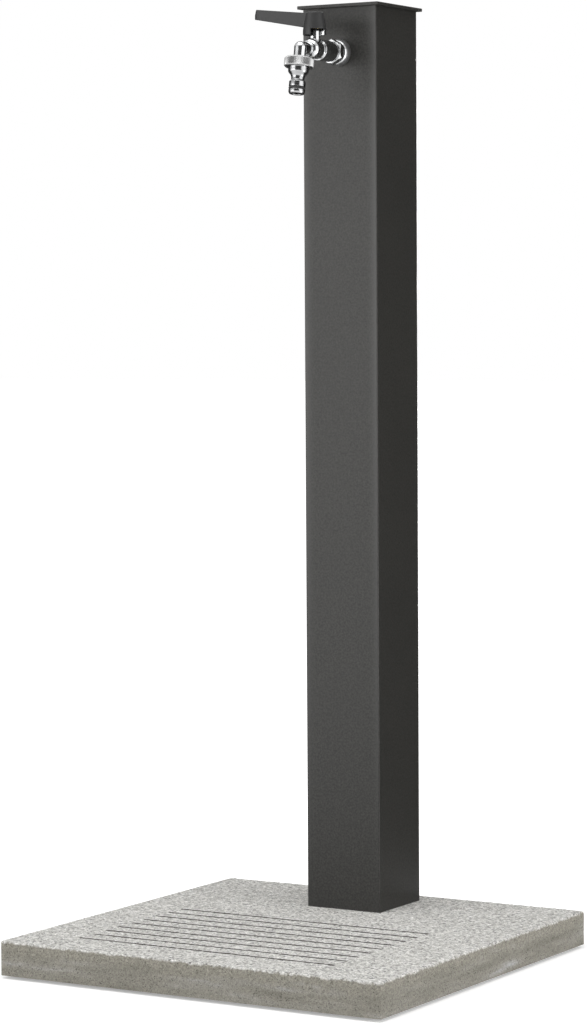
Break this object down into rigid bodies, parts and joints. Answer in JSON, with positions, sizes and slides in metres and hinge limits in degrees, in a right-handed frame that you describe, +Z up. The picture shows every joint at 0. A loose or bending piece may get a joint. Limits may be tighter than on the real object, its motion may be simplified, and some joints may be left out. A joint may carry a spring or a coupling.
{
  "type": "garden standpipe",
  "caption": "Free-standing garden standpipe: square column with a flat cap on a slotted concrete slab, quarter-turn ball tap with lever and push-fit hose plug.",
  "frame": {"origin": "on the floor under the middle of the slab", "axes": "+X to the right seen from the front, -Y to the front where the tap is, +Z up"},
  "size_m": [0.4, 0.4, 0.901],
  "materials": {
    "concrete": "washed aggregate",
    "anthracite": "fine matt powder coat",
    "chrome": "polished",
    "satin_chrome": "satin",
    "black_plastic": "fine grained",
    "rubber": "matt",
    "brass": "machined",
    "zinc_steel": "zinc plated",
    "stainless": "drawn",
    "white_plastic": "smooth"
  },
  "bodies": {
    "stand": {"base_slab": "concrete", "slab_pads": "rubber", "anchor_bolts": "zinc_steel", "anchor_washers": "zinc_steel", "anchor_nuts": "zinc_steel", "foot_bracket": "zinc_steel", "tab_nuts": "zinc_steel", "column_screws": "zinc_steel", "column": "anthracite", "cap_plate": "anthracite", "cap_insert": "black_plastic", "inlet_elbow": "brass", "inlet_washer": "rubber", "inlet_locknut": "brass", "riser_pipe": "stainless", "compression_nuts": "brass", "compression_rings": "brass", "tap_elbow": "brass", "wall_washer": "rubber", "rosette": "chrome", "tap_tail": "chrome", "tap_body": "chrome", "ball_seats": "white_plastic", "thrust_washer": "white_plastic", "stem_packing": "white_plastic", "gland_nut": "brass"},
    "lever": {"lever": "black_plastic", "lever_washer": "stainless", "lever_screw": "stainless", "lever_cover": "black_plastic", "stem": "stainless", "ball": "chrome"},
    "seal": {"spout_seal": "rubber"},
    "connector": {"hose_connector": "satin_chrome", "plug_ring": "rubber"}
  },
  "joints": [
    {"name": "lever_turn", "type": "hinge", "parent": "stand", "child": "lever", "pos_m": [-0.006, 0.0485, 0.855], "axis": [0, 0, 1], "range_deg": [0, 90]},
    {"name": "connector_travel", "type": "slide", "parent": "stand", "child": "seal", "axis": [0, -0.1736, -0.9848], "range_m": [0, 0.0055]},
    {"name": "connector_turn", "type": "hinge", "parent": "seal", "child": "connector", "pos_m": [-0.006, 0.022, 0.855], "axis": [0, -0.1736, -0.9848], "range_deg": [0, 1080]}
  ],
  "couplings": [
    {"joint": "connector_travel", "follows": "connector_turn", "m_per_rad": 0.00028871}
  ]
}
